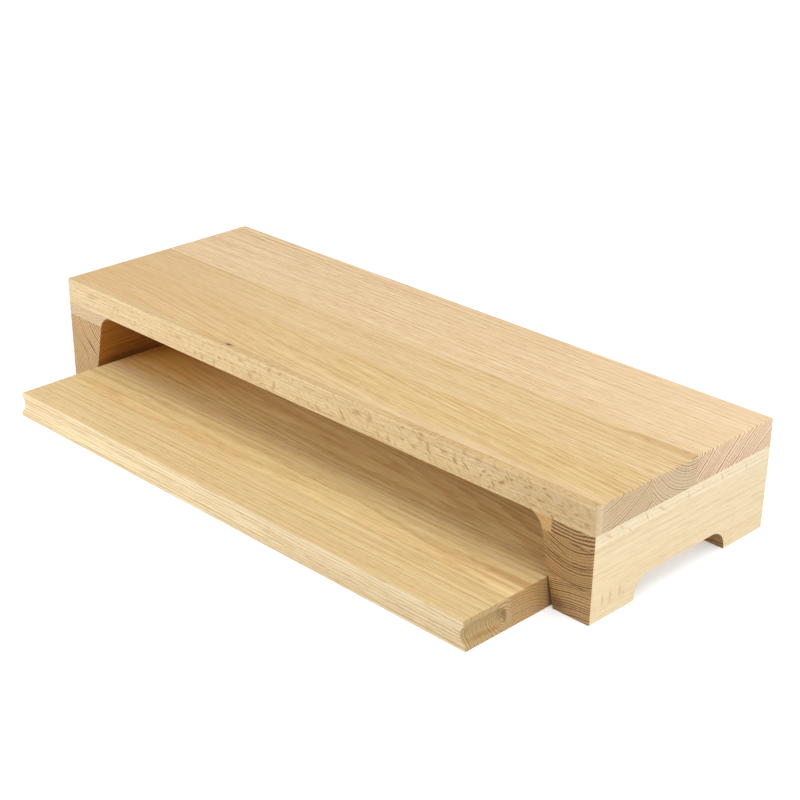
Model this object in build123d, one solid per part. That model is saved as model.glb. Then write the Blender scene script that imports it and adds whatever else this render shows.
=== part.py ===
from build123d import *
import math
import os

os.makedirs("parts", exist_ok=True)

# Oak display riser with a loose lower board, in millimetres.
# +X runs along the deck, -Y faces the user and +Z is up, with the counter at z = 0.
# The origin is the bottom centre of the whole set as it stands, with the lower board drawn out.

# Deck: one edge-glued board, grain along X
DECK_LENGTH = 780.0
DECK_DEPTH = 265.0
DECK_THICKNESS = 29.0
DECK_FRONT_STRIP = 9.0
DECK_SECOND_STAVE = 70.5
DECK_THIRD_STAVE = 66.5

# Legs: slabs of front-to-back staves, square outside and tapered inside
LEG_HEIGHT = 90.0
LEG_TOP_THICKNESS = 63.0
LEG_FOOT_THICKNESS = 42.0
LEG_OUTER_SET_IN = 1.6
LEG_CAP_HEIGHT = 14.0
LEG_CAP_WIDTH = 49.5
LEG_FOOT_SEAM_HEIGHT = 32.0
LEG_FOOT_SEAM_RISE = 3.0

# Cove that softens the inner corner under the deck
COVE_DROP = 16.0
COVE_REACH = 10.5

# Arch that leaves each leg standing on a front and a rear foot
ARCH_WIDTH = 139.0
ARCH_HEIGHT = 23.0
ARCH_RADIUS = 21.5

# Dowels that locate the legs under the deck
DOWEL_DIAMETER = 10.0
DOWEL_IN_DECK = 16.0
DOWEL_IN_LEG = 24.0
DOWEL_COUNT = 4
DOWEL_SPACING = 64.0
DOWEL_INSET = 28.0
DOWEL_SIDE_CLEARANCE = 0.1
DOWEL_END_CLEARANCE = 0.8
DOWEL_END_CHAMFER = 1.0

# Lower board: slides on the counter between the legs
TRAY_THICKNESS = 29.0
TRAY_DEPTH = 265.0
TRAY_SIDE_GAP = 5.7
TRAY_DRAWN_OUT = 109.5
TRAY_SIDE_SHIFT = 3.5
TRAY_FRONT_STAVE = 60.0
TRAY_SECOND_STAVE = 70.0
TRAY_THIRD_STAVE = 70.0

# Ends of the lower board: they lean in towards the top like the legs beside them, and each has a
# round-ended hollow for the fingertips, cut in from the front corner
TRAY_END_LEAN = 3.4
HOLLOW_RADIUS = 10.3
HOLLOW_DEPTH = 5.3
HOLLOW_HEIGHT = 15.5
HOLLOW_LENGTH = 54.0
HOLLOW_RIM_RADIUS = 1.0

# Arrises rounded by sanding
EDGE_RADIUS = 1.5

# Places that follow from the sizes above
RISER_Y = TRAY_DRAWN_OUT / 2
RISER_FRONT = RISER_Y - DECK_DEPTH / 2
RISER_BACK = RISER_Y + DECK_DEPTH / 2
DECK_TOP = LEG_HEIGHT + DECK_THICKNESS
LEG_OUTER_TOP = DECK_LENGTH / 2
LEG_OUTER_FOOT = LEG_OUTER_TOP - LEG_OUTER_SET_IN
LEG_INNER_TOP = LEG_OUTER_TOP - LEG_TOP_THICKNESS
LEG_INNER_FOOT = LEG_OUTER_FOOT - LEG_FOOT_THICKNESS
TRAY_FRONT = RISER_FRONT - TRAY_DRAWN_OUT

# Size of the blocks that cut boards into staves, well past every edge
PAST_EDGES = 2 * DECK_LENGTH


def leg_inner_x(z):
    """Distance of the leg's tapered inner face from the middle of the riser, at height z."""
    return LEG_INNER_FOOT + (LEG_INNER_TOP - LEG_INNER_FOOT) * z / LEG_HEIGHT


def tray_end_x(z):
    """Distance of the lower board's leaning ends from its middle, at height z."""
    upper_half_length = leg_inner_x(TRAY_THICKNESS) - TRAY_SIDE_GAP
    return upper_half_length + TRAY_END_LEAN * (TRAY_THICKNESS - z) / TRAY_THICKNESS


def outline_xz(lines, front, depth):
    """Solid of an outline drawn as (x, z), from y = front back by depth."""
    face = make_face(Plane.XZ * lines)
    return extrude(Pos(0, front, 0) * face, amount=depth, dir=(0, 1, 0))


def slab_y(front, back):
    """Block that keeps only what lies between two depths."""
    block = Box(PAST_EDGES, back - front, PAST_EDGES)
    return Pos(0, (front + back) / 2, 0) * block


def along_edges(solid, test, radius):
    """The solid with the edges whose centres pass the test rounded."""
    chosen = [edge for edge in solid.edges() if test(edge.center(CenterOf.MASS))]
    return fillet(chosen, radius)


def near(value, place):
    """True where two coordinates are the same place."""
    return abs(value - place) < 0.01


def staves(board, front, back, widths):
    """Slices a board into staves of the given widths from the front; the last takes the rest."""
    places = [front]
    for width in widths:
        places.append(places[-1] + width)
    places.append(back)
    return [board & slab_y(low, high) for low, high in zip(places, places[1:])]


def deck_board():
    """Deck with its upper arrises and corners rounded."""
    middle = (LEG_HEIGHT + DECK_TOP) / 2
    board = Pos(0, RISER_Y, middle) * Box(DECK_LENGTH, DECK_DEPTH, DECK_THICKNESS)

    def outer_arris(place):
        upright = near(place.Z, middle)
        return upright or near(place.Z, DECK_TOP)

    return along_edges(board, outer_arris, EDGE_RADIUS)


def leg_outline():
    """Section of the right leg: upright outside, tapered inside, coved under the deck."""
    cove_foot = (leg_inner_x(LEG_HEIGHT - COVE_DROP), LEG_HEIGHT - COVE_DROP)
    cove_end = (LEG_INNER_TOP - COVE_REACH, LEG_HEIGHT)
    inner_foot = (LEG_INNER_FOOT, 0)
    outside = Polyline(cove_end, (LEG_OUTER_TOP, LEG_HEIGHT), (LEG_OUTER_FOOT, 0), inner_foot, cove_foot)
    taper = (cove_foot[0] - inner_foot[0], cove_foot[1])
    cove = TangentArc(cove_foot, cove_end, tangent=taper)
    return outside + cove


def arch_cutter():
    """Straight-sided arch with rounded shoulders, long enough to pass through both legs."""
    opening = Pos(0, ARCH_HEIGHT / 2) * Rectangle(ARCH_WIDTH, ARCH_HEIGHT)
    shoulders = opening.vertices().sort_by(Axis.Y)[-2:]
    opening = fillet(shoulders, ARCH_RADIUS)
    section = Plane.YZ * opening
    return Pos(0, RISER_Y, 0) * extrude(section, amount=DECK_LENGTH, both=True)


def leg_slab():
    """Whole right leg with its arch and rounded outer arrises, before it is cut into staves."""
    slab = outline_xz(leg_outline(), RISER_FRONT, DECK_DEPTH) - arch_cutter()
    outer_middle = (LEG_OUTER_TOP + LEG_OUTER_FOOT) / 2

    def outer_corner(place):
        upright = near(place.X, outer_middle) and near(place.Z, LEG_HEIGHT / 2)
        return upright and (near(place.Y, RISER_FRONT) or near(place.Y, RISER_BACK))

    return along_edges(slab, outer_corner, EDGE_RADIUS)


def seam_height(x):
    """Height of the glue line above the feet, which climbs towards the inner face."""
    across = (LEG_OUTER_FOOT - x) / LEG_FOOT_THICKNESS
    return LEG_FOOT_SEAM_HEIGHT + LEG_FOOT_SEAM_RISE * across


def leg_layer(bottom_outer, bottom_inner, top_outer, top_inner):
    """Block between two glue lines, given by their heights past the outer and inner faces."""
    outer = LEG_OUTER_TOP + LEG_TOP_THICKNESS
    inner = LEG_INNER_TOP - LEG_TOP_THICKNESS
    corners = Polyline(
        (outer, bottom_outer),
        (outer, top_outer),
        (inner, top_inner),
        (inner, bottom_inner),
        close=True,
    )
    return outline_xz(corners, RISER_FRONT - DECK_DEPTH, 3 * DECK_DEPTH)


def leg_pieces():
    """Staves of the right leg by name, from the foot up, bored for the dowels."""
    slab = leg_slab()
    outer = LEG_OUTER_TOP + LEG_TOP_THICKNESS
    inner = LEG_INNER_TOP - LEG_TOP_THICKNESS
    seam_outer = seam_height(outer)
    seam_inner = seam_height(inner)
    cap_base = LEG_HEIGHT - LEG_CAP_HEIGHT
    below = -LEG_HEIGHT
    above = 2 * LEG_HEIGHT
    cap_seam_x = LEG_OUTER_TOP - LEG_CAP_WIDTH
    cap = slab & leg_layer(cap_base, cap_base, above, above)
    outside_seam = Pos(cap_seam_x + PAST_EDGES / 2, 0, 0) * Box(PAST_EDGES, PAST_EDGES, PAST_EDGES)
    inside_seam = Pos(cap_seam_x - PAST_EDGES / 2, 0, 0) * Box(PAST_EDGES, PAST_EDGES, PAST_EDGES)
    pieces = {
        "foot_stave": slab & leg_layer(below, below, seam_outer, seam_inner),
        "middle_stave": slab & leg_layer(seam_outer, seam_inner, cap_base, cap_base),
        "cap_stave": cap & outside_seam,
        "cove_strip": cap & inside_seam,
    }
    bores = dowel_bores()
    return {name: piece - bores for name, piece in pieces.items()}


def dowel_places():
    """Depths of the dowels, in one row from the front to the back of a leg."""
    first = RISER_Y - DOWEL_SPACING * (DOWEL_COUNT - 1) / 2
    return [first + DOWEL_SPACING * number for number in range(DOWEL_COUNT)]


def dowel_row(radius, bottom, top, chamfer_length):
    """Row of round pins above the right leg, between two heights."""
    pin = Cylinder(radius, top - bottom)
    if chamfer_length > 0:
        pin = chamfer(pin.edges().filter_by(GeomType.CIRCLE), chamfer_length)
    x = LEG_OUTER_TOP - DOWEL_INSET
    middle = (bottom + top) / 2
    return Part() + [Pos(x, y, middle) * pin for y in dowel_places()]


def dowel_bores():
    """Bores for the right leg's dowels."""
    radius = DOWEL_DIAMETER / 2 + DOWEL_SIDE_CLEARANCE
    bottom = LEG_HEIGHT - DOWEL_IN_LEG - DOWEL_END_CLEARANCE
    top = LEG_HEIGHT + DOWEL_IN_DECK + DOWEL_END_CLEARANCE
    return dowel_row(radius, bottom, top, 0)


def dowels():
    """Beech dowels of the right leg."""
    bottom = LEG_HEIGHT - DOWEL_IN_LEG
    top = LEG_HEIGHT + DOWEL_IN_DECK
    return dowel_row(DOWEL_DIAMETER / 2, bottom, top, DOWEL_END_CHAMFER)


def finger_hollow():
    """Cutter for the right-hand hollow: a round bar with a ball end that stops inside the board."""
    axis_x = tray_end_x(HOLLOW_HEIGHT) + HOLLOW_RADIUS - HOLLOW_DEPTH
    rim_half_height = math.sqrt(HOLLOW_RADIUS**2 - (HOLLOW_RADIUS - HOLLOW_DEPTH) ** 2)
    bar_length = 2 * (HOLLOW_LENGTH - rim_half_height)
    bar = Pos(axis_x, TRAY_FRONT, HOLLOW_HEIGHT) * Rot(90, 0, 0) * Cylinder(HOLLOW_RADIUS, bar_length)
    ball = Pos(axis_x, TRAY_FRONT + bar_length / 2, HOLLOW_HEIGHT) * Sphere(HOLLOW_RADIUS)
    return bar + ball


def tray_board():
    """Lower board in its place, with its upper arrises and the rims of its hollows rounded."""
    bottom = tray_end_x(0)
    top = tray_end_x(TRAY_THICKNESS)
    section = Polyline((bottom, 0), (top, TRAY_THICKNESS), (-top, TRAY_THICKNESS), (-bottom, 0), close=True)
    board = outline_xz(section, TRAY_FRONT, TRAY_DEPTH)

    def upper_arris(place):
        return near(place.Z, TRAY_THICKNESS)

    board = along_edges(board, upper_arris, EDGE_RADIUS)
    hollow = finger_hollow()
    board = board - hollow - mirror(hollow, about=Plane.YZ)

    def hollow_rim(place):
        on_end = near(abs(place.X), tray_end_x(place.Z))
        past_front = place.Y > TRAY_FRONT + EDGE_RADIUS
        before_back = place.Y < TRAY_FRONT + HOLLOW_LENGTH + EDGE_RADIUS
        return on_end and past_front and before_back and place.Z > EDGE_RADIUS

    return Pos(TRAY_SIDE_SHIFT, 0, 0) * along_edges(board, hollow_rim, HOLLOW_RIM_RADIUS)


def save(solid, name):
    """Writes one sub-part under its node's name."""
    solid.label = name
    export_step(solid, f"parts/{name}.step")


def main():
    """Builds every sub-part and writes it."""
    right_bores = dowel_bores()
    bores = right_bores + mirror(right_bores, about=Plane.YZ)
    deck_widths = [DECK_FRONT_STRIP, DECK_SECOND_STAVE, DECK_THIRD_STAVE]
    deck_names = ["deck_front_strip", "deck_second_stave", "deck_third_stave", "deck_back_stave"]
    for name, stave in zip(deck_names, staves(deck_board(), RISER_FRONT, RISER_BACK, deck_widths)):
        save(stave - bores, name)

    for name, piece in leg_pieces().items():
        save(piece, f"right_{name}")
        save(mirror(piece, about=Plane.YZ), f"left_{name}")
    save(dowels(), "right_dowels")
    save(mirror(dowels(), about=Plane.YZ), "left_dowels")

    tray_widths = [TRAY_FRONT_STAVE, TRAY_SECOND_STAVE, TRAY_THIRD_STAVE]
    tray_names = ["tray_front_stave", "tray_second_stave", "tray_third_stave", "tray_back_stave"]
    tray_back = TRAY_FRONT + TRAY_DEPTH
    for name, stave in zip(tray_names, staves(tray_board(), TRAY_FRONT, tray_back, tray_widths)):
        save(stave, name)


main()
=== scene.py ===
"""Looks of an oak display riser: a deck on two slab legs, and a loose board that slides between them.

Every stave is dressed as a solid piece of wood. Its growth rings are cylinders round the heart of the
log that it was sawn from, so the end grain, the faces and the edges of a stave agree with each other.
"""
import logging
import math
from collections.abc import Callable
from dataclasses import dataclass
from enum import Enum
from functools import partial
from typing import Any, ClassVar

import bpy
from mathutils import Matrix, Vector


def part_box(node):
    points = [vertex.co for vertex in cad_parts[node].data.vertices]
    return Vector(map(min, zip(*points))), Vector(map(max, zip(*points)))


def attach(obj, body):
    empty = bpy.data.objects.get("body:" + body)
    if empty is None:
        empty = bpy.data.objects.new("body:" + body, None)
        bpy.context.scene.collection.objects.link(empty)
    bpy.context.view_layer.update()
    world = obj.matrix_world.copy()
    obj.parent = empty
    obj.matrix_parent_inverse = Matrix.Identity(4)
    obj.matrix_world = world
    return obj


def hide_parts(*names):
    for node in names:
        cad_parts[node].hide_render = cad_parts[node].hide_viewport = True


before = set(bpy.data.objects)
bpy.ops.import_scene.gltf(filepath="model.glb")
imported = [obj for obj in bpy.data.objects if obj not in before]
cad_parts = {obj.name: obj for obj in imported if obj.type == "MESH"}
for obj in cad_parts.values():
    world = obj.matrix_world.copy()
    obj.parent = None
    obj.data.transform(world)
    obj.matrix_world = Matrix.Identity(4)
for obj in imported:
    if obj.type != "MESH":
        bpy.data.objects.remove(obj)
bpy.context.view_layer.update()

MM = 0.001
WHITE = (1.0, 1.0, 1.0, 1.0)

log = logging.getLogger("riser")

Node = bpy.types.Node
Socket = bpy.types.NodeSocket
Adder = Callable[..., Node]
Colour = tuple[float, float, float, float]
Pair = tuple[float, float]
Triple = tuple[float, float, float]

MATH = "ShaderNodeMath"
VECTOR_MATH = "ShaderNodeVectorMath"
MAP_RANGE = "ShaderNodeMapRange"
MIX = "ShaderNodeMix"
SEPARATE = "ShaderNodeSeparateXYZ"
COMBINE = "ShaderNodeCombineXYZ"
NOISE = "ShaderNodeTexNoise"
SMOOTHLY = {"interpolation_type": "SMOOTHSTEP"}
COLOURS = {"data_type": "RGBA"}

# A year's ring, as share of its width and porosity: open at once in spring, dense by summer. The edge
# is the porosity on the line between two years.
RING_STOPS = ((0.08, 1.0), (0.38, 0.85), (0.60, 0.15), (0.88, 0.0))
RING_EDGE = 0.1

# How rough the octaves of the noise are, and how far apart two seeds lie in it.
NOISE_ROUGHNESS = 0.55
SEED_STEP = (1370.0, 410.0, 770.0)

# Which way a face looks.
TO_THE_USER = (0.0, -1.0, 0.0)
TO_THE_LEFT = (-1.0, 0.0, 0.0)
TO_THE_RIGHT = (1.0, 0.0, 0.0)
UPWARDS = (0.0, 0.0, 1.0)
DOWNWARDS = (0.0, 0.0, -1.0)

# Where the marks of the faces lie, in millimetres: the right leg's outer face and the riser's front.
OUTER_FACE = 389.0
FRONT = -78.0


class Grain(Enum):
    """Which way the fibres of a stave run: the axes along the grain, level across it and upright."""

    LEFT_TO_RIGHT = ("X", "Y", "Z")
    FRONT_TO_BACK = ("Y", "X", "Z")


class Side(Enum):
    """Which leg, as the first word of its nodes' names."""

    RIGHT = "right"
    LEFT = "left"


def linear(hex_colour: str) -> Colour:
    """Turns an sRGB hex value into the linear colour that a socket takes.

    Args:
        hex_colour: Six hex digits after a hash sign.

    Returns:
        Linear red, green and blue, and an alpha of 1.
    """
    shares = [int(hex_colour[start : start + 2], 16) / 255 for start in (1, 3, 5)]
    red, green, blue = (s / 12.92 if s <= 0.04045 else ((s + 0.055) / 1.055) ** 2.4 for s in shares)
    return red, green, blue, 1.0


def add_node(
    tree: bpy.types.NodeTree, kind: str, settings: dict[str, Any] | str | None = None, **feeds: Any
) -> Node:
    """Adds a node to a tree, sets it up and feeds its inputs.

    Args:
        tree: Shader or geometry tree that gets the node.
        kind: Blender's name of the node type.
        settings: Properties of the node itself. A word alone is its operation.
        feeds: What the inputs get, under their names, with _ for a space. A list feeds the inputs of
            that name in turn. A socket or a node, which stands for its first output in use, is linked.

    Returns:
        The new node.
    """
    node = tree.nodes.new(kind)
    if isinstance(settings, str):
        settings = {"operation": settings}
    for name, value in (settings or {}).items():
        setattr(node, name, value)
    for name, value in feeds.items():
        sockets = [s for s in node.inputs if s.enabled and s.name == name.replace("_", " ")]
        for socket, item in zip(sockets, value if isinstance(value, list) else [value], strict=False):
            if isinstance(item, Node):
                item = next(s for s in item.outputs if s.enabled)
            if isinstance(item, Socket):
                tree.links.new(item, socket)
            else:
                socket.default_value = item
    return node


def empty_tree(owner: bpy.types.Material | bpy.types.World) -> Adder:
    """Clears the nodes of a material or a world.

    Args:
        owner: The new material or world.

    Returns:
        What adds a node to it.
    """
    owner.use_nodes = True
    owner.node_tree.nodes.clear()
    return partial(add_node, owner.node_tree)


def new_object(name: str, data: bpy.types.ID | None) -> bpy.types.Object:
    """Puts a new object into the scene.

    Args:
        name: Its name.
        data: Its mesh, lamp or camera.

    Returns:
        The object.
    """
    made = bpy.data.objects.new(name, data)
    bpy.context.scene.collection.objects.link(made)
    return made


@dataclass(frozen=True)
class Mark:
    """A soft-edged spot in a stave, such as a ray fleck or a pin knot: a turned ellipsoid.

    Place and reach are in millimetres, turn is in degrees about the three axes.
    """

    place: Triple
    reach: Triple
    colour: str
    strength: float = 0.5
    turn: Triple = (0.0, 0.0, 0.0)
    core: float = 0.3


@dataclass(frozen=True)
class OiledOak:
    """Solid white oak, sawn, planed, sanded fine and oiled.

    It gives the eye satin wood with fine silky lines, a darker band in each year's ring, soft dashes
    where rays end on a face, and a browner, thirstier end grain. Lengths are in millimetres, and a size
    runs along the grain, level across it and upright. The heart is the centre of the log, level and
    upright, and mostly lies outside the stave. The material's name ends in the one given here.
    """

    name: str
    heart: Pair
    seed: int
    grain: Grain = Grain.LEFT_TO_RIGHT
    ring: float = 2.6
    summer: str = "#DBBB81"
    spring: str = "#C49C60"
    blush: str = "#DDB488"
    blush_share: float = 0.25
    end_summer: str = "#CDAE80"
    end_spring: str = "#8E6A45"
    face_contrast: float = 0.4
    end_contrast: float = 1.0
    streaks: float = 0.2
    pores: float = 0.36
    end_pores: float = 0.85
    flecks: float = 0.16
    end_flecks: float = 0.1
    end_edge: Pair = (0.12, 0.5)
    end_light: Pair = (0.93, 1.05)
    wander: float = 14.0
    squash: float = 1.0
    drift: Pair = (0.0, 0.0)
    marks: tuple[Mark, ...] = ()

    # The face that _deep_face tints: by default the underside, painted golden as shade lit by light
    # bounced between the wood.
    deep_face: Triple = DOWNWARDS
    deep_tint: str = "#FFF0D0"
    deep_streaks: float = 0.0

    ripple: float = 1.6
    group_of_years: float = 7.0
    group_shift: float = 2.2
    bold_years: float = 0.5
    pore_tint: str = "#A57C4C"
    ray_tint: str = "#E2CBA6"
    streak_tint: Triple = (0.6, 1.0, 1.6)
    fine_share: float = 0.9
    pore_size: Triple = (13.0, 0.8, 0.8)
    pore_edge: Pair = (0.50, 0.66)
    summer_pores: float = 0.35
    fibre_size: Triple = (30.0, 1.1, 1.1)
    streak_size: Triple = (240.0, 2.2, 2.2)
    band_size: Triple = (600.0, 16.0, 16.0)
    sway_size: Triple = (420.0, 150.0, 150.0)
    ripple_size: Triple = (80.0, 14.0, 14.0)
    ray_size: Triple = (9.0, 20.0, 1.0)
    ray_slant: float = 0.0
    ray_radius: float = 90.0
    ray_edge: Pair = (0.58, 0.70)
    ray_growth: Pair = (1.0, 1.0)
    ray_run: Pair = (-390.0, 390.0)
    ragged: float = 2.6
    ragged_size: Triple = (6.0, 6.0, 3.0)
    edge_lines: float = 0.0
    edge_pitch: float = 3.6
    edge_waver: Triple = (70.0, 30.0, 6.0)
    edge_gaps: Triple = (60.0, 8.0, 2.4)
    edge_tint: str = "#CCAA7C"
    roughness: float = 0.48
    pore_roughness: float = 0.65
    refraction: float = 1.45
    pore_depth: float = 0.08

    def material(self) -> bpy.types.Material:
        """Builds the material, on Object coordinates, so that the wood is solid right through.

        Returns:
            The new material.
        """
        made = bpy.data.materials.new(f"oak_planed_oiled_{self.name}")
        add = empty_tree(made)
        coordinates = add("ShaderNodeTexCoord")
        normal = coordinates.outputs["Normal"]
        place = add(VECTOR_MATH, "SCALE", Vector=coordinates.outputs["Object"], Scale=1 / MM)
        wood = self._wood(add, place)
        shift = tuple(self.seed * step for step in SEED_STEP)
        shifted = add(VECTOR_MATH, "ADD", Vector=[wood, shift])
        radius, around = self._log(add, wood, shifted)
        spring, year = self._years(add, radius)
        end = self._end(add, normal)
        pores = self._pores(add, shifted, spring)
        rays = self._rays(add, wood, shifted, radius, around)
        streaks = self._streaks(add, shifted)
        face = self._face_colour(add, shifted, spring, streaks)
        face = self._deep_face(add, normal, face, streaks)
        face = self._lined_edge(add, normal, wood, shifted, face)
        face = self._rayed_face(add, face, rays)
        cut = self._end_colour(add, spring, year, rays)
        colour = add(MIX, COLOURS, Factor=end, A=face, B=cut)
        colour = self._pored(add, colour, end, pores)
        colour = self._marked(add, place, colour)
        self._finish(add, colour, pores)
        return made

    def _wood(self, add: Adder, place: Node) -> Node:
        """Turns a place in the room into a place in the wood.

        Args:
            add: Adds a node.
            place: Position in millimetres.

        Returns:
            Position along the grain, level and upright, with the slow drift of the fibres taken out.
        """
        axes = add(SEPARATE, Vector=place)
        along, level, upright = (axes.outputs[axis] for axis in self.grain.value)
        straight = add(COMBINE, X=along, Y=level, Z=upright)
        drift = (0.0, *self.drift)
        return add(VECTOR_MATH, "MULTIPLY_ADD", Vector=[along, drift, straight])

    def _end(self, add: Adder, normal: Socket) -> Node:
        """Finds how far a surface cuts across the grain.

        Args:
            add: Adds a node.
            normal: The surface's normal in the object's frame.

        Returns:
            A share of 0 on a face or an edge, and of 1 on an end.
        """
        axes = add(SEPARATE, Vector=normal)
        across = add(MATH, "ABSOLUTE", Value=axes.outputs[self.grain.value[0]])
        face, cut = self.end_edge
        return add(MAP_RANGE, SMOOTHLY, Value=across, From_Min=face, From_Max=cut)

    def _lumps(self, add: Adder, place: Node, size: Triple, detail: float = 2.0) -> Node:
        """Adds noise, mostly of 0.25 to 0.75, whose lumps have a real size, with octaves of detail."""
        lumps = add(VECTOR_MATH, "DIVIDE", Vector=[place, size])
        return add(NOISE, Vector=lumps, Scale=1.0, Detail=detail, Roughness=NOISE_ROUGHNESS)

    def _log(self, add: Adder, wood: Node, shifted: Node) -> tuple[Node, Node]:
        """Finds where a point lies in the log.

        Args:
            add: Adds a node.
            wood: Position along the grain, level and upright.
            shifted: The same, moved by the seed.

        Returns:
            The distance from the heart, and the distance round it, measured at a usual radius.
        """
        sway = self._lumps(add, shifted, self.sway_size, 1.0)
        half = self.wander / 2
        spread = (0.0, self.wander, self.wander)
        back = (0.0, -half - self.heart[0], -half - self.heart[1])
        moved = add(VECTOR_MATH, "MULTIPLY_ADD", Vector=[sway.outputs["Color"], spread, back])
        offset = add(VECTOR_MATH, "ADD", Vector=[wood, moved])
        flat = (0.0, 1.0, self.squash)
        across = add(VECTOR_MATH, "MULTIPLY", Vector=[offset, flat])
        distance = add(VECTOR_MATH, "LENGTH", Vector=across)
        ripple = self._lumps(add, shifted, self.ripple_size)
        radius = add(MATH, "MULTIPLY_ADD", Value=[ripple, self.ripple, distance])
        sides = add(SEPARATE, Vector=across)
        angle = add(MATH, "ARCTAN2", Value=[sides.outputs["Z"], sides.outputs["Y"]])
        around = add(MATH, "MULTIPLY", Value=[angle, self.ray_radius])
        return radius, around

    def _years(self, add: Adder, radius: Node) -> tuple[Node, Node]:
        """Splits the distance from the heart into years of uneven width.

        Args:
            add: Adds a node.
            radius: Distance from the heart.

        Returns:
            How porous the wood is there, from 0 to 1, and a number from 0 to 1 for the year.
        """
        share = 1 / (self.ring * self.group_of_years)
        group = add(MATH, "MULTIPLY_ADD", Value=[radius, share, float(self.seed)])
        uneven = add(NOISE, {"noise_dimensions": "1D"}, W=group, Scale=1.0, Detail=1.0)
        even = add(MATH, "DIVIDE", Value=[radius, self.ring])
        years = add(MATH, "MULTIPLY_ADD", Value=[uneven, self.group_shift, even])
        part = add(MATH, "FRACT", Value=years)
        number = add(MATH, "FLOOR", Value=years)
        year = add("ShaderNodeTexWhiteNoise", {"noise_dimensions": "1D"}, W=number)
        ramp = add("ShaderNodeValToRGB", Fac=part)
        stops = ramp.color_ramp.elements
        for position, level in RING_STOPS:
            stops.new(position).color = (level, level, level, 1.0)
        for stop in (stops[0], stops[-1]):
            stop.color = (RING_EDGE, RING_EDGE, RING_EDGE, 1.0)
        faint = 1 - self.bold_years
        bold = add(MAP_RANGE, SMOOTHLY, Value=year, From_Min=0.35, From_Max=0.85, To_Min=faint)
        spring = add(MATH, "MULTIPLY", Value=[ramp, bold])
        return spring, year

    def _pores(self, add: Adder, shifted: Node, spring: Node) -> Node:
        """Opens the vessels: long dashes on a face, dots on an end, crowded in the spring wood.

        Real vessels are 0.3 mm wide. They are drawn about three times as wide, so that they show.

        Args:
            add: Adds a node.
            shifted: Position in the wood, moved by the seed.
            spring: How porous the wood is there.

        Returns:
            How far a pore is open there, from 0 to 1.
        """
        vessels = self._lumps(add, shifted, self.pore_size)
        low, high = self.pore_edge
        open_ends = add(MAP_RANGE, SMOOTHLY, Value=vessels, From_Min=low, From_Max=high)
        crowd = add(MAP_RANGE, Value=spring, To_Min=self.summer_pores, To_Max=1.0)
        return add(MATH, "MULTIPLY", Value=[open_ends, crowd])

    def _rays(self, add: Adder, wood: Node, shifted: Node, radius: Node, around: Node) -> Node:
        """Sets the rays: thin sheets out from the heart, which show as dashes, ribbons or spokes.

        Args:
            add: Adds a node.
            wood: Position along the grain, level and upright.
            shifted: The same, moved by the seed.
            radius: Distance from the heart.
            around: Distance round the heart.

        Returns:
            How plain a ray is there, from 0 to 1.
        """
        along = add(SEPARATE, Vector=shifted).outputs["X"]
        slanted = add(MATH, "MULTIPLY_ADD", Value=[radius, self.ray_slant, along])
        sheets = add(COMBINE, X=slanted, Y=radius, Z=around)
        low, high = self.ray_edge
        lumps = self._lumps(add, sheets, self.ray_size, 1.0)
        rays = add(MAP_RANGE, SMOOTHLY, Value=lumps, From_Min=low, From_Max=high)
        run = add(SEPARATE, Vector=wood).outputs["X"]
        first, last = self.ray_run
        least, most = self.ray_growth
        growth = add(MAP_RANGE, Value=run, From_Min=first, From_Max=last, To_Min=least, To_Max=most)
        return add(MATH, "MULTIPLY", Value=[rays, growth])

    def _streaks(self, add: Adder, shifted: Node) -> Node:
        """Draws silky lines along the grain, fine ones on wider ones.

        Real fibres are finer than the eye parts. The lines are a bundle of them wide, so that they show.

        Args:
            add: Adds a node.
            shifted: Position in the wood, moved by the seed.

        Returns:
            A number from -1, dark, to 1, light.
        """
        wide = self._lumps(add, shifted, self.streak_size, 3.0)
        fine = self._lumps(add, shifted, self.fibre_size)
        both = add(MATH, "MULTIPLY_ADD", Value=[fine, self.fine_share, wide])
        return add(MAP_RANGE, Value=both, From_Min=0.69, From_Max=1.21, To_Min=-1.0, To_Max=1.0)

    def _face_colour(self, add: Adder, shifted: Node, spring: Node, streaks: Node) -> Node:
        """Colours the faces along the grain: soft rings, pinkish bands and fine streaks.

        Args:
            add: Adds a node.
            shifted: Position in the wood, moved by the seed.
            spring: How porous the wood is there.
            streaks: Dark and light lines along the grain.

        Returns:
            The colour of a face.
        """
        shown = add(MATH, "MULTIPLY", Value=[spring, self.face_contrast])
        rings = add(MIX, COLOURS, Factor=shown, A=linear(self.summer), B=linear(self.spring))
        lumps = self._lumps(add, shifted, self.band_size)
        most = self.blush_share
        band = add(MAP_RANGE, SMOOTHLY, Value=lumps, From_Min=0.42, From_Max=0.64, To_Max=most)
        blushed = add(MIX, COLOURS, Factor=band, A=rings, B=linear(self.blush))
        return self._streaked(add, blushed, streaks, self.streaks)

    def _tinted(self, add: Adder, colour: Node, share: Node, tint: str) -> Node:
        """Lays a tint over a colour like a glaze, as far as the share says."""
        shade = add(MIX, COLOURS, Factor=share, A=WHITE, B=linear(tint))
        return add(VECTOR_MATH, "MULTIPLY", Vector=[colour, shade])

    def _streaked(self, add: Adder, colour: Node, streaks: Node, strength: float) -> Node:
        """Lightens and darkens a colour by the streaks, with more of the change in its blue.

        Args:
            add: Adds a node.
            colour: The colour under the streaks.
            streaks: Dark and light lines along the grain.
            strength: How far they change it.

        Returns:
            The streaked colour.
        """
        most = tuple(strength * share for share in self.streak_tint)
        light = add(VECTOR_MATH, "MULTIPLY_ADD", Vector=[streaks, most, (1.0, 1.0, 1.0)])
        return add(VECTOR_MATH, "MULTIPLY", Vector=[colour, light])

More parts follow.
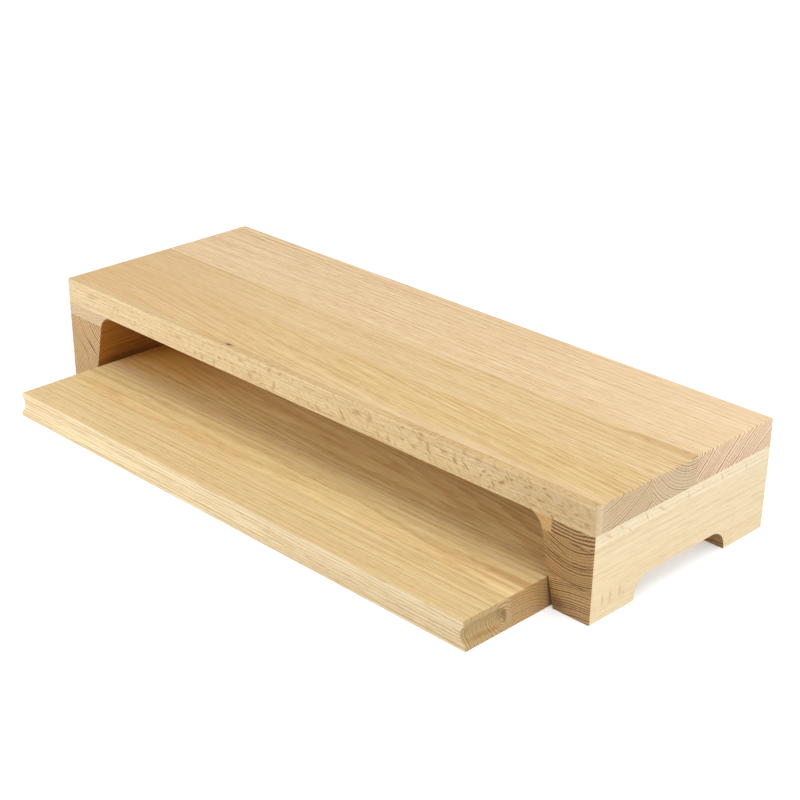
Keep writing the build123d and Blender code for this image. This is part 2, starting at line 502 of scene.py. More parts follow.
    def _deep_face(self, add: Adder, normal: Socket, colour: Node, streaks: Node) -> Node:
        """Tints the one face that looks a given way. On a leg's inner face, an underside and the board's
        hidden back this is painted shade, darker and golden like light bounced between the wood.
            colour: The colour of a face.
            streaks: Dark and light lines along the grain.

        Returns:
            The colour, deeper on that face.
        """
        facing = add(VECTOR_MATH, "DOT_PRODUCT", Vector=[normal, self.deep_face])
        tint = linear(self.deep_tint)[:3]
        tinted = add(VECTOR_MATH, "MULTIPLY", Vector=[colour, tint])
        tinted = self._streaked(add, tinted, streaks, self.deep_streaks)
        inside = add(MAP_RANGE, SMOOTHLY, Value=facing, From_Min=0.3, From_Max=0.9)
        return add(MIX, COLOURS, Factor=inside, A=colour, B=tinted)

    def _lined_edge(self, add: Adder, normal: Socket, wood: Node, shifted: Node, colour: Node) -> Node:
        """Draws the years on the edge that faces the user, as even, wavering lines that come and go.

        Args:
            add: Adds a node.
            normal: The surface's normal in the object's frame.
            wood: Position along the grain, level and upright.
            shifted: The same, moved by the seed.
            colour: The colour of a face.

        Returns:
            The colour, lined on that edge.
        """
        if not self.edge_lines:
            return colour
        upright = add(SEPARATE, Vector=wood).outputs["Z"]
        waver = self._lumps(add, shifted, self.edge_waver)
        height = add(MATH, "MULTIPLY_ADD", Value=[waver, self.edge_pitch, upright])
        years = add(MATH, "DIVIDE", Value=[height, self.edge_pitch])
        turn = add(MATH, "PINGPONG", Value=[years, 0.5])
        line = add(MAP_RANGE, SMOOTHLY, Value=turn, From_Min=0.12, From_Max=0.42)
        lumps = self._lumps(add, shifted, self.edge_gaps)
        plain = add(MAP_RANGE, Value=lumps, From_Min=0.35, From_Max=0.65, To_Min=0.25, To_Max=1.0)
        facing = add(VECTOR_MATH, "DOT_PRODUCT", Vector=[normal, TO_THE_USER])
        front = add(MAP_RANGE, Value=facing, From_Min=0.5, From_Max=0.9, To_Max=self.edge_lines)
        share = add(MATH, "MULTIPLY", Value=[line, plain])
        share = add(MATH, "MULTIPLY", Value=[share, front])
        return self._tinted(add, colour, share, self.edge_tint)

    def _rayed_face(self, add: Adder, colour: Node, rays: Node) -> Node:
        """Lays the rays over a face, as warm, slightly darker flecks."""
        shown = add(MATH, "MULTIPLY", Value=[rays, self.flecks])
        return self._tinted(add, colour, shown, self.ray_tint)

    def _end_colour(self, add: Adder, spring: Node, year: Node, rays: Node) -> Node:
        """Colours the ends across the grain: browner, with the rings at full strength and pale rays.

        Args:
            add: Adds a node.
            spring: How porous the wood is there.
            year: A number from 0 to 1 for the year.
            rays: How plain a ray is there.

        Returns:
            The colour of an end.
        """
        shown = add(MATH, "MULTIPLY", Value=[spring, self.end_contrast])
        wet, dry = linear(self.end_spring), linear(self.end_summer)
        rings = add(MIX, COLOURS, Factor=shown, A=dry, B=wet)
        dim, bright = self.end_light
        light = add(MAP_RANGE, Value=year, To_Min=dim, To_Max=bright)
        light = add(MATH, "MULTIPLY_ADD", Value=[rays, self.end_flecks, light])
        return add(VECTOR_MATH, "SCALE", Vector=rings, Scale=light)

    def _pored(self, add: Adder, colour: Node, end: Node, pores: Node) -> Node:
        """Darkens the pores, more on an end, where they are cut across.

        Args:
            add: Adds a node.
            colour: The colour between the pores.
            end: How far the surface cuts across the grain.
            pores: How far a pore is open there.

        Returns:
            The colour with its pores.
        """
        depth = add(MAP_RANGE, Value=end, To_Min=self.pores, To_Max=self.end_pores)
        shown = add(MATH, "MULTIPLY", Value=[pores, depth])
        return self._tinted(add, colour, shown, self.pore_tint)

    def _marked(self, add: Adder, place: Node, colour: Node) -> Node:
        """Lays the marks over the wood, one after another, with edges that waver a little.

        Args:
            add: Adds a node.
            place: Position in millimetres.
            colour: The colour under the marks.

        Returns:
            The colour with its marks.
        """
        if not self.marks:
            return colour
        lumps = self._lumps(add, place, self.ragged_size)
        spread = (self.ragged,) * 3
        back = (-self.ragged / 2,) * 3
        offset = add(VECTOR_MATH, "MULTIPLY_ADD", Vector=[lumps.outputs["Color"], spread, back])
        place = add(VECTOR_MATH, "ADD", Vector=[place, offset])
        for mark in self.marks:
            turn = tuple(math.radians(angle) for angle in mark.turn)
            inside = add(
                "ShaderNodeMapping", {"vector_type": "TEXTURE"},
                Vector=place, Location=mark.place, Rotation=turn, Scale=mark.reach,
            )
            distance = add(VECTOR_MATH, "LENGTH", Vector=inside)
            core, most = mark.core, mark.strength
            share = add(MAP_RANGE, SMOOTHLY, Value=distance, From_Min=1.0, From_Max=core, To_Max=most)
            colour = add(MIX, COLOURS, Factor=share, A=colour, B=linear(mark.colour))
        return colour

    def _finish(self, add: Adder, colour: Node, pores: Node) -> None:
        """Adds the oiled surface: satin on the wood, dull and slightly sunken in the pores.

        Args:
            add: Adds a node.
            colour: The colour of the wood.
            pores: How far a pore is open there.
        """
        rough = add(MAP_RANGE, Value=pores, To_Min=self.roughness, To_Max=self.pore_roughness)
        depth = self.pore_depth * MM
        relief = add("ShaderNodeBump", {"invert": True}, Height=pores, Strength=1.0, Distance=depth)
        wood = add(
            "ShaderNodeBsdfPrincipled",
            Base_Color=colour, Roughness=rough, IOR=self.refraction, Normal=relief,
        )
        add("ShaderNodeOutputMaterial", Surface=wood)


@dataclass(frozen=True)
class LegOak(OiledOak):
    """The paler, quarter-sawn oak of the legs, planed and oiled.

    It gives the eye long faces that are pale and quiet, with a few upright flecks, and brown ends with
    plain dark rings. The inner face is painted darker and golden, as shade lit by light bounced between
    the wood.
    """

    grain: Grain = Grain.FRONT_TO_BACK
    summer: str = "#ECD6AC"
    spring: str = "#DDC08E"
    blush: str = "#EFDAB6"
    end_summer: str = "#D6AC6E"
    end_spring: str = "#4A2811"
    face_contrast: float = 0.3
    streaks: float = 0.09
    pores: float = 0.2
    end_pores: float = 0.8
    flecks: float = 0.05
    bold_years: float = 0.6
    pore_size: Triple = (13.0, 1.3, 1.3)
    wander: float = 6.0
    # Painted shade: the inner face darker, golden and streaked, like light bounced between the wood.
    deep_face: Triple = TO_THE_LEFT
    deep_tint: str = "#C4934E"
    deep_streaks: float = 0.34


@dataclass(frozen=True)
class TurnedBeech:
    """Steamed beech, turned and pressed into fluted rod: even, dull and pinkish, with small flecks."""

    name: str = "beech_turned_fluted"
    wood: str = "#D8B088"
    fleck: str = "#B98A62"
    fleck_size: Triple = (0.7, 0.7, 2.5)
    roughness: float = 0.6

    def material(self) -> bpy.types.Material:
        """Builds the material, with flecks that run up the pins.

        Returns:
            The new material.
        """
        made = bpy.data.materials.new(self.name)
        add = empty_tree(made)
        place = add("ShaderNodeTexCoord").outputs["Object"]
        size = tuple(length * MM for length in self.fleck_size)
        lumps = add(VECTOR_MATH, "DIVIDE", Vector=[place, size])
        noise = add(NOISE, Vector=lumps, Scale=1.0, Detail=1.0)
        share = add(MAP_RANGE, Value=noise, From_Min=0.55, From_Max=0.7)
        colour = add(MIX, COLOURS, Factor=share, A=linear(self.wood), B=linear(self.fleck))
        beech = add("ShaderNodeBsdfPrincipled", Base_Color=colour, Roughness=self.roughness)
        add("ShaderNodeOutputMaterial", Surface=beech)
        return made


def dress(node: str, finish: OiledOak) -> None:
    """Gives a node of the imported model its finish.

    Args:
        node: Name of the node.
        finish: Wood that it is made of.
    """
    made = finish.material()
    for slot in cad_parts[node].material_slots:
        slot.material = made
    log.info("%s is dressed in %s", node, made.name)


# A mark fades out towards its edge, so the next three make it reach farther than half of what shows.
def outer_fleck(start: Pair, stop: Pair, width: float = 1.5, strength: float = 0.6) -> Mark:
    """Draws one ray fleck on the outer face of the right leg, as a soft line.

    Args:
        start: One end of the line, from the user to the back and upwards.
        stop: The other end.
        width: Width of the line.
        strength: How plainly it shows.

    Returns:
        The fleck.
    """
    run, rise = stop[0] - start[0], stop[1] - start[1]
    middle = (OUTER_FACE, (start[0] + stop[0]) / 2, (start[1] + stop[1]) / 2)
    reach = (8.0, math.hypot(run, rise) / 1.6, width)
    turn = (math.degrees(math.atan2(rise, run)), 0.0, 0.0)
    return Mark(middle, reach, "#CDA56A", strength, turn, 0.1)


def front_line(start: Pair, stop: Pair, width: float, strength: float) -> Mark:
    """Draws one bold, dark year across the front end of a leg.

    Args:
        start: One end of the line, from left to right and upwards.
        stop: The other end.
        width: Width of the line.
        strength: How plainly it shows.

    Returns:
        The line.
    """
    run, rise = stop[0] - start[0], stop[1] - start[1]
    middle = ((start[0] + stop[0]) / 2, FRONT, (start[1] + stop[1]) / 2)
    reach = (math.hypot(run, rise) / 1.7, 9.0, width)
    turn = (0.0, -math.degrees(math.atan2(rise, run)), 0.0)
    return Mark(middle, reach, "#5A3A22", strength, turn, 0.2)


def front_fleck(
    across: float, height: float, width: float, tall: float, lean: float, strength: float
) -> Mark:
    """Draws one ray fleck on the front of the deck, as a soft patch.

    Args:
        across: Its place from left to right.
        height: Its height above the counter.
        width: Its width.
        tall: Its height from its lower to its upper edge.
        lean: How far its top leans to the left, in degrees.
        strength: How plainly it shows.

    Returns:
        The fleck.
    """
    reach = (width / 1.5, 6.0, tall / 1.5)
    return Mark((across, FRONT, height), reach, "#AA7835", strength, (0.0, -lean, 0.0), 0.2)


# The plainest ray flecks on the front of the deck, as front_fleck takes them. They are wide and soft at
# the left, then slanted, then short dashes.
FRONT_FLECKS = (
    (-378, 106, 9, 5, 0, 0.25), (-345, 108, 20, 7, 0, 0.33), (-302, 107, 7, 3, 50, 0.43),
    (-297, 106, 7, 3, -50, 0.43), (-265.5, 99.6, 4.5, 9, 0, 0.35), (-189, 105.5, 13, 5, 0, 0.38),
    (-161, 95.8, 5.5, 6, 0, 0.43), (-148.5, 94.5, 6, 7, 0, 0.43), (-128.6, 95, 3.5, 7, 10, 0.45),
    (-119.5, 102, 6, 5, 0, 0.33), (-85, 110.6, 10, 5, 10, 0.38), (-70, 98, 4, 11, 36, 0.5),
    (-62.8, 104.8, 8, 3.5, 0, 0.43), (-53, 94.5, 5.5, 3.5, 0, 0.5), (-40, 113, 8, 4.5, 30, 0.43),
    (-33, 99, 4, 10, -18, 0.5), (-22.8, 115, 7, 4.5, 20, 0.4), (19.4, 95.8, 3.5, 8, 45, 0.5),
    (32, 96.5, 3, 8, 52, 0.53), (35.5, 94.5, 6, 4, 0, 0.55), (69, 100.5, 3.6, 16, 32, 0.6),
    (89, 109.5, 14, 7, 10, 0.43), (107.5, 108.5, 10, 9, 0, 0.43), (133.5, 96.5, 5.5, 9, 38, 0.52),
    (153, 115.4, 8, 3, 10, 0.5), (167.7, 100.3, 8, 5, -10, 0.53), (177.4, 116.6, 10, 3, 0, 0.52),
    (187.7, 103.2, 3.6, 10.5, 42, 0.65), (209, 110, 8, 2, 8, 0.53), (222, 104, 2.8, 11, 54, 0.73),
    (235.5, 104, 2.8, 12, 50, 0.73), (250, 116, 10, 2.8, -10, 0.59), (254.4, 101.6, 2.8, 6, -30, 0.65),
    (258.2, 106.8, 6.5, 3.2, 20, 0.71), (264, 104.8, 7, 2, 0, 0.65), (265.3, 93.5, 2.8, 4.5, 20, 0.65),
    (269.8, 98.6, 3.4, 7, 45, 0.73), (280, 103.6, 9.5, 3.8, 24, 0.73),
    (286, 109.8, 5.5, 2.8, -30, 0.73), (291.5, 110.4, 6.5, 2.8, 30, 0.73),
    (302, 116.9, 6.5, 2.4, 0, 0.71), (309.8, 109, 6.5, 2.6, 0, 0.73), (314.7, 112.2, 5.5, 2.4, 0, 0.71),
    (317.5, 95, 8, 2.4, 0, 0.71), (326.4, 102.6, 10.5, 2.8, 0, 0.73), (330.5, 116.4, 6.5, 2.4, 0, 0.71),
    (336, 110.6, 7.5, 2.2, -12, 0.67), (337, 95, 6.5, 2.2, 0, 0.65), (341, 91.8, 5.5, 4, 0, 0.71),
    (345.5, 95.2, 6, 2.2, 0, 0.65), (349.8, 106.4, 10, 2, 0, 0.71), (355, 100.4, 6, 2, 0, 0.6),
    (362.7, 111.7, 6, 2, 0, 0.6), (362.7, 98.3, 7, 2, 0, 0.67), (369, 104.6, 6, 2, 0, 0.53),
    (374, 94.8, 6, 2, 0, 0.6), (380.5, 113.4, 6, 2, 0, 0.53), (381.5, 99, 6.5, 2, 0, 0.6),
)

# The deck's left end is a warmer, pinker tan.
WARM_END = Mark((-400.0, -20.0, 119.0), (430.0, 140.0, 50.0), "#D4A873", 0.5, core=0.0)

# The ray flecks on the right leg's outer face: both ends, width and strength. They are wide and nearly
# upright on its foot, thin and slanted on its cap.
FOOT_FLECKS = (
    ((-60.8, 12.0), (-60.8, 27.5), 2.2, 0.65),
    ((-50.0, 10.5), (-50.0, 28.5), 2.2, 0.65),
    ((-35.8, 13.0), (-35.8, 28.5), 2.2, 0.65),
    ((-74.0, 18.6), (-69.0, 11.4), 1.6, 0.35),
)
CAP_FLECKS = (
    ((-63.5, 88.0), (-51.0, 80.0)), ((-43.8, 89.0), (-37.6, 84.0)), ((-30.4, 82.0), (-25.0, 76.6)),
    ((-7.2, 89.0), (0.0, 77.5)), ((10.6, 88.0), (27.6, 77.5)), ((57.0, 87.0), (59.0, 76.6)),
    ((77.6, 86.4), (81.2, 81.0)), ((107.0, 89.0), (112.4, 77.5)), ((147.3, 86.4), (149.0, 75.7)),
)

# The boldest years on the front ends of the legs' middle staves: both ends, width and strength.
RIGHT_YEARS = (
    ((331.0, 72.6), (362.0, 59.6), 1.2, 0.8),
    ((354.0, 75.2), (391.0, 72.4), 1.1, 0.9),
    ((332.0, 58.8), (360.0, 54.6), 1.1, 0.75),
    ((356.0, 54.4), (391.0, 58.2), 1.1, 0.75),
    ((334.0, 55.0), (362.0, 50.8), 1.1, 0.65),
    ((358.0, 50.8), (391.0, 54.6), 1.1, 0.65),
    ((337.0, 36.8), (354.0, 33.2), 1.2, 0.8),
    ((350.0, 33.0), (391.0, 34.0), 1.2, 0.75),
)
LEFT_YEARS = (
    ((-368.0, 61.0), (-338.5, 35.0), 1.7, 0.75),
    ((-374.0, 48.5), (-356.0, 31.0), 1.6, 0.4),
    ((-341.0, 75.5), (-332.0, 68.5), 1.3, 0.5),
)

# The left leg's ends are a little paler than the right one's, and greyer at its cap.
BROWN_ENDS = {"end_summer": "#E2B87C", "end_spring": "#5E3510", "bold_years": 0.3, "end_pores": 0.55}
PALE_ENDS = {"end_summer": "#D9BE92", "end_spring": "#B39468", "end_contrast": 0.6}


@dataclass
class Panel:
    """Staves that are glued edge to edge. Each is a field, with its node's name after the prefix."""

    prefix: ClassVar[str]

    def build(self) -> None:
        """Dresses the staves."""
        for stave, finish in vars(self).items():
            dress(f"{self.prefix}_{stave}", finish)


@dataclass
class Deck(Panel):
    """The top of the riser: four staves, grain left to right, glued edge to edge."""

    prefix = "deck"

    # Planed and oiled oak, paler than the rest and full of soft ray flecks in front. A painted shade
    # darkens its front towards the right end, and it has a pin knot on top.
    front_strip: OiledOak = OiledOak(
        "deck_front", heart=(-71.0, 190.0), seed=3,
        summer="#E4CA9A", spring="#D1AA6E", blush="#E2C49C", blush_share=0.1, face_contrast=0.45,
        streak_size=(130.0, 1.5, 1.5), fibre_size=(60.0, 0.9, 0.9),
        deep_face=UPWARDS, deep_tint="#ECE3D4",
        end_summer="#E0C8A1", end_spring="#CDB189", end_contrast=0.3,
        pores=0.45, pore_size=(9.0, 1.0, 1.1), flecks=0.85, ray_tint="#DDC298",
        ray_size=(3.8, 6.5, 3.0), ray_slant=-0.9, ray_edge=(0.55, 0.70), ray_growth=(0.1, 0.9),
        marks=(
            # Painted shade: the front darker towards the right end.
            Mark((370.0, FRONT, 105.0), (190.0, 12.0, 60.0), "#C4A474", 0.45, core=0.0),
            Mark((-110.0, -71.4, 119.0), (10.5, 4.6, 5.0), "#B07F52", 0.7),
            Mark((-110.5, -71.4, 119.0), (5.2, 2.9, 4.0), "#5E3A26", 0.9),
            *(front_fleck(*fleck) for fleck in FRONT_FLECKS),
        ),
    )

    # Planed and oiled oak with wide, faint rings.
    second_stave: OiledOak = OiledOak(
        "deck_second", heart=(-34.7, 194.0), seed=5, ring=2.9, drift=(0.1, 0.0),
        spring="#C79858", blush="#E0BE8E", face_contrast=0.55, streaks=0.26,
        end_summer="#D8BE93", end_spring="#957450", end_contrast=0.8,
        marks=(WARM_END, Mark((210.0, -76.0, 119.0), (360.0, 30.0, 50.0), "#E6C9A2", 0.6, core=0.0)),
    )

    # The same, sawn nearer the heart of its log, so its lines are closer.
    third_stave: OiledOak = OiledOak(
        "deck_third", heart=(78.0, 157.0), seed=7, ring=2.8, drift=(0.03, 0.0),
        summer="#DFC08B", spring="#C4985C", blush="#E2C294", face_contrast=0.5,
        end_summer="#DBC198", end_spring="#9C7D5C", end_contrast=0.8,
        marks=(WARM_END,),
    )

    # The same, pinker, with reddish years in clusters. A painted pool of light makes its top paler at
    # the back right.
    back_stave: OiledOak = OiledOak(
        "deck_back", heart=(296.0, -80.0), seed=11, ring=3.2, drift=(0.02, 0.0), ripple=4.0,
        group_shift=5.0, bold_years=0.35,
        summer="#E8CA9D", spring="#CC9F66", blush="#E6C69B", blush_share=0.4, face_contrast=0.5,
        end_summer="#F2D4AA", end_spring="#9E6A52",
        # Painted light: the top paler towards the back right.
        marks=(Mark((390.0, 178.0, 119.0), (330.0, 150.0, 50.0), "#F2D6B0", 0.4, core=0.1),),
    )


@dataclass
class RightLeg(Panel):
    """The right slab leg: foot, middle and cap staves and a strip with the cove, grain front to back."""

    prefix = Side.RIGHT.value

    # Pale planed oak with soft upright flecks. Its ends are brown, with close rising rings, and a
    # reddish patch in front.
    foot_stave: LegOak = LegOak(
        "right_foot", heart=(400.0, -196.0), seed=29, ring=2.5,
        end_summer="#CAA066", end_spring="#57300F",
        marks=(
            *(outer_fleck(*fleck) for fleck in FOOT_FLECKS),
            Mark((350.0, FRONT, 8.0), (14.0, 9.0, 9.0), "#7C4826", 0.5),
        ),
    )

    # The same, sawn below the heart, so the rings on its ends sag.
    middle_stave: LegOak = LegOak(
        "right_middle", heart=(364.0, 130.0), seed=31, ring=2.4, squash=0.9,
        end_summer="#BF965C", end_spring="#4E2A12",
        marks=tuple(front_line(*year) for year in RIGHT_YEARS),
    )

    # The palest of the leg's oak, with slanted flecks, and four bold years across its ends.
    cap_stave: LegOak = LegOak(
        "right_cap", heart=(358.0, 190.0), seed=37, ring=3.9, wander=3.0, ripple=6.0,
        ripple_size=(80.0, 24.0, 24.0), group_shift=0.8, bold_years=0.1,
        summer="#F0DDB8", spring="#E3CB9E",
        end_summer="#C8A068", end_spring="#5C2C14",
        marks=tuple(outer_fleck(*fleck) for fleck in CAP_FLECKS),
    )

    # Oak sawn along its rays, nearly plain.
    cove_strip: LegOak = LegOak("right_cove", heart=(250.0, 130.0), seed=41, end_contrast=0.2)


@dataclass
class LeftLeg(Panel):
    """The left slab leg, glued up in the same way."""

    prefix = Side.LEFT.value

    # Pale planed oak, with fine slanting rings on its ends.
    foot_stave: LegOak = LegOak(
        "left_foot", heart=(-290.0, 35.0), seed=43, ring=2.9, deep_face=TO_THE_RIGHT, **BROWN_ENDS
    )

    # The same, with steeper rings.
    middle_stave: LegOak = LegOak(
        "left_middle", heart=(-308.0, 98.0), seed=47, ring=2.9, deep_face=TO_THE_RIGHT,
        marks=tuple(front_line(*year) for year in LEFT_YEARS), **BROWN_ENDS,
    )

    # Paler and greyer oak, with thin arched rings.
    cap_stave: LegOak = LegOak(
        "left_cap", heart=(-350.0, -28.0), seed=53, deep_face=TO_THE_RIGHT, **PALE_ENDS
    )

    # Nearly plain oak.
    cove_strip: LegOak = LegOak(
        "left_cove", heart=(-280.0, -60.0), seed=59, deep_face=TO_THE_RIGHT, **PALE_ENDS
    )


@dataclass
class DowelRow:
    """The pins that hold a leg to the deck: chamfered lengths of fluted rod. Sizes are in metres."""

    side: Side
    count: int = 4
    diameter: float = 0.010
    flutes: int = 18
    flute_depth: float = 0.0004
    chamfer: float = 0.001
    finish: TurnedBeech = TurnedBeech()

    def build(self) -> None:
        """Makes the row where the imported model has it, as one mesh."""
        node = f"{self.side.value}_dowels"
        low, high = (Vector(corner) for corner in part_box(node))
        radius = self.diameter / 2
        first = Vector(((low.x + high.x) / 2, low.y + radius, (low.z + high.z) / 2))
        values = {
            "Pins": ("Int", self.count),
            "First pin": ("Vector", first),
            "Pitch": ("Float", (high.y - low.y - self.diameter) / (self.count - 1)),
            "Radius": ("Float", radius),
            "Length": ("Float", high.z - low.z),
            "Flutes": ("Int", self.flutes),
            "Flute depth": ("Float", self.flute_depth),
            "Chamfer": ("Float", self.chamfer),
            "Finish": ("Material", self.finish.material()),
        }
        tree = self._tree({name: kind for name, (kind, _) in values.items()})
        holder = new_object(f"{node}_maker", bpy.data.meshes.new(f"{node}_seed"))
        modifier = holder.modifiers.new("pins", "NODES")
        modifier.node_group = tree
        for item in tree.interface.items_tree:
            if item.in_out == "INPUT":
                modifier[item.identifier] = values[item.name][1]
        evaluated = holder.evaluated_get(bpy.context.evaluated_depsgraph_get())
        pins = new_object(f"{node}_fluted", bpy.data.meshes.new_from_object(evaluated))
        bpy.data.objects.remove(holder)
        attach(pins, "riser")
        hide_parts(node)
        log.info("%s has %d fluted pins in %s", node, self.count, self.finish.name)

    def _tree(self, inputs: dict[str, str]) -> bpy.types.GeometryNodeTree:
        """Builds the geometry nodes for a row of fluted, chamfered pins along the Y axis.

        Args:
            inputs: Name and type of the number of pins, of their sizes and of their finish.

        Returns:
            A tree with those named inputs.
        """
        tree = bpy.data.node_groups.new("fluted_pins", "GeometryNodeTree")
        tree.interface.new_socket("Geometry", in_out="OUTPUT", socket_type="NodeSocketGeometry")
        for name, kind in inputs.items():
            tree.interface.new_socket(name, in_out="INPUT", socket_type=f"NodeSocket{kind}")
        add = partial(add_node, tree)
        sizes = add("NodeGroupInput").outputs
        pin = self._pin(add, sizes)
        step = add(COMBINE, Y=sizes["Pitch"])
        row = add(
            "GeometryNodeMeshLine", Count=sizes["Pins"], Start_Location=sizes["First pin"], Offset=step
        )
        placed = add("GeometryNodeInstanceOnPoints", Points=row, Instance=pin)
        real = add("GeometryNodeRealizeInstances", Geometry=placed)
        dressed = add("GeometryNodeSetMaterial", Geometry=real, Material=sizes["Finish"])
        add("NodeGroupOutput", Geometry=dressed)
        return tree

    def _pin(self, add: Adder, sizes: bpy.types.NodeOutputs) -> Node:
        """Shapes one pin about the origin, from a cylinder with two sides to each flute.

        The cylinder has three bands. The rings between them move out to the chamfers, the end rings
        shrink by the chamfer, and every second side sinks by the depth of a flute.

        Args:
            add: Adds a node.
            sizes: Outputs of the tree's input node.

        Returns:
            The node that gives the pin.
        """
        sides = add(MATH, "MULTIPLY", Value=[sizes["Flutes"], 2.0])
        rod = add(
            "GeometryNodeMeshCylinder", {"fill_type": "NGON"},
            Vertices=sides, Side_Segments=3, Radius=sizes["Radius"], Depth=sizes["Length"],
        )
        place = add(SEPARATE, Vector=add("GeometryNodeInputPosition"))
        height = add(MATH, "ABSOLUTE", Value=place.outputs["Z"])
        third = add(MATH, "DIVIDE", Value=[sizes["Length"], 3.0])
        at_end = add(MATH, "GREATER_THAN", Value=[height, third])
        inner = add(MATH, "SUBTRACT", Value=[1.0, at_end])
        odd = add(MATH, "MODULO", Value=[add("GeometryNodeInputIndex"), 2.0])
        cut = add(MATH, "MULTIPLY", Value=[at_end, sizes["Chamfer"]])
        sunk = add(MATH, "MULTIPLY_ADD", Value=[odd, sizes["Flute depth"], cut])
        share = add(MATH, "DIVIDE", Value=[sunk, sizes["Radius"]])
        wide = add(MATH, "SUBTRACT", Value=[1.0, share])
        half = add(MATH, "DIVIDE", Value=[sizes["Length"], 2.0])
        back = add(MATH, "MULTIPLY", Value=[inner, sizes["Chamfer"]])
        reach = add(MATH, "SUBTRACT", Value=[half, back])
        side = add(MATH, "SIGN", Value=place.outputs["Z"])
        x = add(MATH, "MULTIPLY", Value=[place.outputs["X"], wide])
        y = add(MATH, "MULTIPLY", Value=[place.outputs["Y"], wide])
        z = add(MATH, "MULTIPLY", Value=[side, reach])
        moved = add(COMBINE, X=x, Y=y, Z=z)
        return add("GeometryNodeSetPosition", Geometry=rod.outputs["Mesh"], Position=moved)


def hollow_shade_marks(end: float) -> tuple[Mark, ...]:
    """Paints shade into a finger hollow of the lower board: darker on its floor, along its bottom edge
    and at its round end.

    Args:
        end: Where that end of the board lies, from left to right.

    Returns:
        The marks.
    """
    return (
        Mark((end, -162.0, 15.0), (12.0, 32.0, 9.5), "#A8884C", 0.16, core=0.6),
        Mark((end, -162.0, 7.2), (9.0, 31.0, 2.4), "#A0702C", 0.55, (-2.0, 0.0, 0.0), 0.2),
        Mark((end, -138.5, 15.8), (12.0, 8.0, 10.0), "#8C7240", 0.45, core=0.2),
        Mark((end, -134.6, 15.5), (12.0, 2.6, 8.0), "#76562C", 0.4, core=0.2),
    )


# Painted shade: the deep golden tone of light bounced between wood under the deck, at the board's hidden
# left end.
GOLDEN_BOUNCE_SHADE = Mark((-340.0, 0.0, 29.0), (250.0, 105.0, 30.0), "#CA8D28", 0.82, core=0.0)

# How the years run in a stave sawn flat: in long, slightly falling flames.
FLAMES = {
    "ring": 3.4, "drift": (0.07, 0.0), "wander": 26.0, "sway_size": (560.0, 60.0, 60.0), "ripple": 4.0,
    "ripple_size": (130.0, 10.0, 10.0), "bold_years": 0.4, "face_contrast": 0.6,
}


@dataclass
class Board(Panel):
    """The loose lower board: four staves, grain left to right, with finger hollows in its ends."""

    prefix = "tray"

    # Planed and oiled oak with the heart of its log inside it. Pale and finely lined in front.
    front_stave: OiledOak = OiledOak(
        "board_front", heart=(-137.0, 11.0), seed=13, squash=1.1, wander=5.0,
        summer="#F2DEB2", spring="#D4AE70", blush_share=0.1, face_contrast=0.5,
        streak_size=(300.0, 1.3, 1.3), fibre_size=(90.0, 0.8, 0.8),
        deep_face=UPWARDS, deep_tint="#E9E0CE", edge_lines=0.55,
        end_summer="#CAAD78", end_spring="#7E5D34", end_contrast=0.6,
        # Painted shade in the finger hollows at both ends.
        marks=hollow_shade_marks(341.0) + hollow_shade_marks(-334.0),
    )

    # The same oak, cut beside the heart, with straight close lines.
    second_stave: OiledOak = OiledOak(
        "board_second", heart=(-116.0, -60.0), seed=17, ring=3.0, wander=8.0, ripple=3.0,
        summer="#E6CB92", spring="#C69C58", face_contrast=0.5,
        end_summer="#C49F68", end_spring="#77572F", end_contrast=0.5,
        marks=(
            Mark((330.0, -101.0, 29.0), (75.0, 7.0, 8.0), "#B98648", 0.5),
            Mark((300.0, -114.0, 29.0), (60.0, 2.6, 5.0), "#BC8C50", 0.45),
        ),
    )

    # Deeper golden oak, sawn flat, with long flames. Its bright golden tone is partly the wood's own and
    # partly painted bounce light for the shade under the deck.
    third_stave: OiledOak = OiledOak(
        "board_third", heart=(-22.0, -60.0), seed=19,
        summer="#F0D99B", spring="#C39449", blush="#DDB875",
        marks=(GOLDEN_BOUNCE_SHADE,), **FLAMES,
    )

    # The same, deeper still, with its top tinted golden as painted shade lit by light bounced under the
    # deck.
    back_stave: OiledOak = OiledOak(
        "board_back", heart=(60.0, -60.0), seed=23,
        summer="#ECD39E", spring="#BE8B4B", blush="#DAB279",
        deep_face=UPWARDS, deep_tint="#FCF7CD",
        marks=(GOLDEN_BOUNCE_SHADE,), **FLAMES,
    )


@dataclass(frozen=True)
class Lamp:
    """A square soft lamp: its place and the length of its sides in metres, its power in watts."""

    name: str
    place: Triple
    size: float
    power: float
    colour: Triple = (1.0, 1.0, 1.0)

    def hang(self, aim: Triple) -> None:
        """Hangs the lamp so that it points at a place.

        Args:
            aim: What it points at, in metres.
        """
        data = bpy.data.lights.new(self.name, "AREA")
        data.size = self.size
        data.energy = self.power
        data.color = self.colour
        lamp = new_object(self.name, data)
        lamp.location = self.place
        lamp.rotation_euler = (Vector(aim) - Vector(self.place)).to_track_quat("-Z", "Y").to_euler()
        log.info("%s hangs at %s", self.name, self.place)


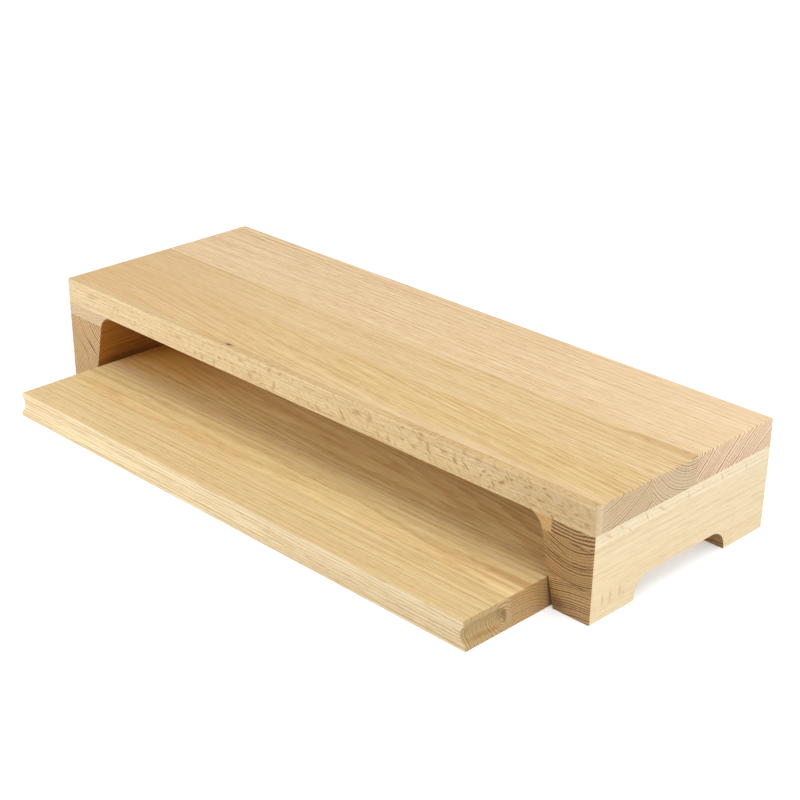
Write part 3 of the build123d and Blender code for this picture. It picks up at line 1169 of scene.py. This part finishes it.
@dataclass
class Studio:
    """White floor, soft lamps and the camera."""

    floor_radius: float = 9.0
    floor_sides: int = 64
    floor_colour: str = "#F0F3F8"
    near_glow: float = 0.38
    far_glow: float = 1.0
    glow_from: float = 0.5
    glow_full: float = 1.8
    sky_strength: float = 0.336
    camera_place: Triple = (1.2252, -1.15235, 0.8373)
    camera_turn: Triple = (65.447, -0.365, 45.2)
    camera_lens: float = 79.84
    camera_reach: float = 100.0
    sensor: float = 36.0
    aim: Triple = (0.0, 0.0, 0.06)
    lamps: tuple[Lamp, ...] = (
        Lamp("lamp_above", (0.6, 0.1, 2.1), 2.0, 28.0),
        Lamp("lamp_right", (2.2, 0.2, 0.9), 1.3, 15.6),
        Lamp("lamp_front", (-0.6, -1.15, 0.65), 0.8, 9.7, (0.97, 1.0, 1.04)),
    )

    def build(self) -> None:
        """Builds the floor, the sky, the lamps and the camera."""
        self._floor()
        self._sky()
        for lamp in self.lamps:
            lamp.hang(self.aim)
        self._camera()

    def _seen(self, add: Adder) -> Node:
        """Tells the camera, a reflection and glass apart from light that falls on the object.

        Args:
            add: Adds a node.

        Returns:
            A share of 1 for what is seen, and of 0 for what lights.
        """
        path = add("ShaderNodeLightPath")
        either = {"operation": "ADD", "use_clamp": True}
        kinds = ("Camera", "Glossy", "Transmission")
        camera, gloss, glass = (path.outputs[f"Is {kind} Ray"] for kind in kinds)
        direct = add(MATH, either, Value=[camera, gloss])
        return add(MATH, either, Value=[direct, glass])

    def _floor(self) -> None:
        """Lays a matt white floor that keeps the shadows near the riser and glows white farther off."""
        corners = [
            (self.floor_radius * math.cos(turn), self.floor_radius * math.sin(turn), 0.0)
            for turn in (2 * math.pi * side / self.floor_sides for side in range(self.floor_sides))
        ]
        mesh = bpy.data.meshes.new("floor")
        mesh.from_pydata(corners, [], [range(self.floor_sides)])
        floor = new_object("floor", mesh)
        made = bpy.data.materials.new("paper_white_floor")
        add = empty_tree(made)
        place = add("ShaderNodeTexCoord").outputs["Object"]
        away = add(VECTOR_MATH, "LENGTH", Vector=place)
        glow = add(
            MAP_RANGE, SMOOTHLY, Value=away, From_Min=self.glow_from, From_Max=self.glow_full,
            To_Min=self.near_glow, To_Max=self.far_glow,
        )
        strength = add(MATH, "MULTIPLY", Value=[self._seen(add), glow])
        light = add("ShaderNodeEmission", Strength=strength)
        paper = add("ShaderNodeBsdfDiffuse", Color=linear(self.floor_colour))
        both = add("ShaderNodeAddShader", Shader=[paper, light])
        add("ShaderNodeOutputMaterial", Surface=both)
        mesh.materials.append(made)
        log.info("the floor is laid")

    def _sky(self) -> None:
        """Sets a white surround that lights evenly and is seen as plain white."""
        world = bpy.data.worlds.new("white_surround")
        bpy.context.scene.world = world
        add = empty_tree(world)
        more = [self._seen(add), 1 - self.sky_strength, self.sky_strength]
        strength = add(MATH, "MULTIPLY_ADD", Value=more)
        sky = add("ShaderNodeBackground", Color=WHITE, Strength=strength)
        add("ShaderNodeOutputWorld", Surface=sky)

    def _camera(self) -> None:
        """Puts the camera where the photograph was taken from."""
        data = bpy.data.cameras.new("camera")
        data.lens = self.camera_lens
        data.sensor_width = self.sensor
        data.clip_end = self.camera_reach
        camera = new_object("camera", data)
        camera.location = self.camera_place
        camera.rotation_euler = [math.radians(turn) for turn in self.camera_turn]
        bpy.context.scene.camera = camera
        log.info("the camera stands at %s", self.camera_place)


def main() -> None:
    """Dresses the riser and its board, and sets the studio."""
    logging.basicConfig(level=logging.INFO, format="%(message)s")
    bpy.context.scene.view_settings.view_transform = "Standard"
    Deck().build()
    RightLeg().build()
    LeftLeg().build()
    for side in Side:
        DowelRow(side).build()
    Board().build()
    Studio().build()


if __name__ == "__main__":
    main()
